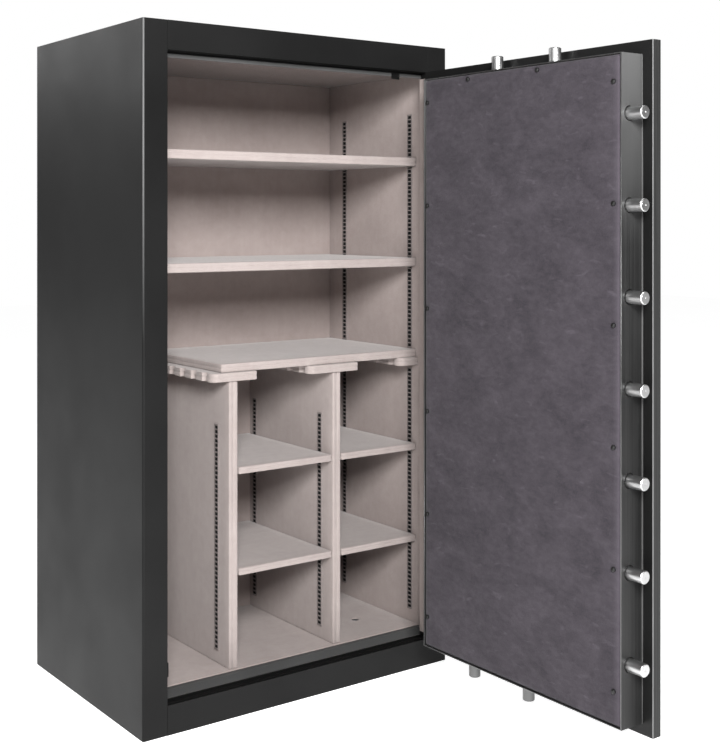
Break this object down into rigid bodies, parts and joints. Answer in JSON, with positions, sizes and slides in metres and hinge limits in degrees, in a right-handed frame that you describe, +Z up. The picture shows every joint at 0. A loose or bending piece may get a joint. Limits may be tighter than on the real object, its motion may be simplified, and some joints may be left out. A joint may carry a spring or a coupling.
{
  "type": "gun safe",
  "caption": "Tall steel gun safe with a swinging door, sliding round bolts driven by a spoked handle, dial lock, and a fabric-covered interior with adjustable shelves and barrel rests.",
  "frame": {"origin": "centre of the cabinet's footprint on the floor", "axes": "+Z up, the front of the cabinet faces -Y, +X is to the right of someone facing the front; the door is stored square open on the +X side"},
  "size_m": [1, 1.585, 1.829],
  "materials": {
    "body_paint": "semi-gloss fine-textured charcoal powder coat",
    "trim_steel": "satin grey paint",
    "box_steel": "satin grey coat over drawn steel, with a fine upright grain",
    "bolt_steel": "turned and satin-polished",
    "zinc": "bright zinc plate",
    "standard_steel": "taupe baked enamel",
    "interior_fabric": "short-pile taupe marine carpet",
    "ceiling_fabric": "short-pile brown-taupe carpet",
    "covered_board": "taupe carpet over board",
    "door_fabric": "short-pile grey-violet carpet over board",
    "fire_board": "paper-faced gypsum fire board",
    "wool": "mineral wool",
    "deck_board": "plain board",
    "rubber": "matt",
    "black_plastic": "matt",
    "brass": "turned",
    "chrome": "polished"
  },
  "bodies": {
    "cabinet": {"side_left": "body_paint", "side_right": "body_paint", "top_panel": "body_paint", "bottom_panel": "body_paint", "back_plate": "body_paint", "stop_flange": "trim_steel", "door_seal": "rubber", "jamb_trim": "interior_fabric", "jamb_bumpers": "rubber", "fireboard_sides": "fire_board", "fireboard_ends": "fire_board", "fireboard_back": "fire_board", "back_batt": "wool", "floor_deck": "trim_steel", "ceiling_deck": "trim_steel", "back_deck": "deck_board", "liner_left": "interior_fabric", "liner_right": "interior_fabric", "liner_back": "interior_fabric", "liner_ceiling": "ceiling_fabric", "liner_floor": "interior_fabric", "divider_left": "covered_board", "divider_right": "covered_board", "shelf_top": "covered_board", "shelf_second": "covered_board", "shelf_middle": "covered_board", "rest_left": "covered_board", "rest_middle": "covered_board", "rest_right": "covered_board", "cubby_shelves_mid": "covered_board", "cubby_shelves_right": "covered_board", "standards_upper": "standard_steel", "standards_lower": "standard_steel", "standards_divider": "standard_steel", "shelf_clips": "zinc", "hinge_leaves_body": "body_paint", "hinge_pins": "bolt_steel", "hinge_washers": "brass"},
    "door": {"door_slab": "body_paint", "door_core": "fire_board", "door_box": "box_steel", "door_fireboard": "fire_board", "door_liner": "door_fabric", "liner_pins": "black_plastic", "hinge_leaves_door": "body_paint", "hinge_stiffener": "body_paint", "bolt_guides": "zinc", "handle_bush": "chrome", "lock_case": "zinc", "dial_ring": "chrome"},
    "side_boltwork": {"side_bolts": "bolt_steel", "side_bar": "zinc"},
    "top_boltwork": {"top_bolts": "bolt_steel", "top_link": "zinc"},
    "bottom_boltwork": {"bottom_bolts": "bolt_steel", "bottom_link": "zinc"},
    "handle_shaft": {"handle": "chrome", "scroll_cam": "zinc"},
    "dial_spindle": {"dial": "black_plastic"},
    "lock_tongue": {"lock_bolt": "brass"}
  },
  "joints": [
    {"name": "door_hinge", "type": "hinge", "parent": "cabinet", "child": "door", "pos_m": [0.4395, -0.3585, 0], "axis": [0, 0, 1], "range_deg": [-90, 90]},
    {"name": "handle_turn", "type": "hinge", "parent": "door", "child": "handle_shaft", "pos_m": [0.426, -0.798, 0.915], "axis": [-1, 0, 0], "range_deg": [0, 90]},
    {"name": "side_bolts_slide", "type": "slide", "parent": "door", "child": "side_boltwork", "axis": [0, 1, 0], "range_m": [0, 0.04]},
    {"name": "top_bolts_slide", "type": "slide", "parent": "door", "child": "top_boltwork", "axis": [0, 0, -1], "range_m": [0, 0.04]},
    {"name": "bottom_bolts_slide", "type": "slide", "parent": "door", "child": "bottom_boltwork", "axis": [0, 0, 1], "range_m": [0, 0.04]},
    {"name": "dial_turn", "type": "hinge", "parent": "door", "child": "dial_spindle", "pos_m": [0.426, -0.798, 1.151], "axis": [1, 0, 0], "continuous": true},
    {"name": "lock_bolt_slide", "type": "slide", "parent": "door", "child": "lock_tongue", "axis": [0, 1, 0], "range_m": [0, 0.01]}
  ],
  "couplings": [
    {"joint": "side_bolts_slide", "follows": "handle_turn", "m_per_rad": 0.025465},
    {"joint": "top_bolts_slide", "follows": "handle_turn", "m_per_rad": 0.025465},
    {"joint": "bottom_bolts_slide", "follows": "handle_turn", "m_per_rad": 0.025465}
  ]
}
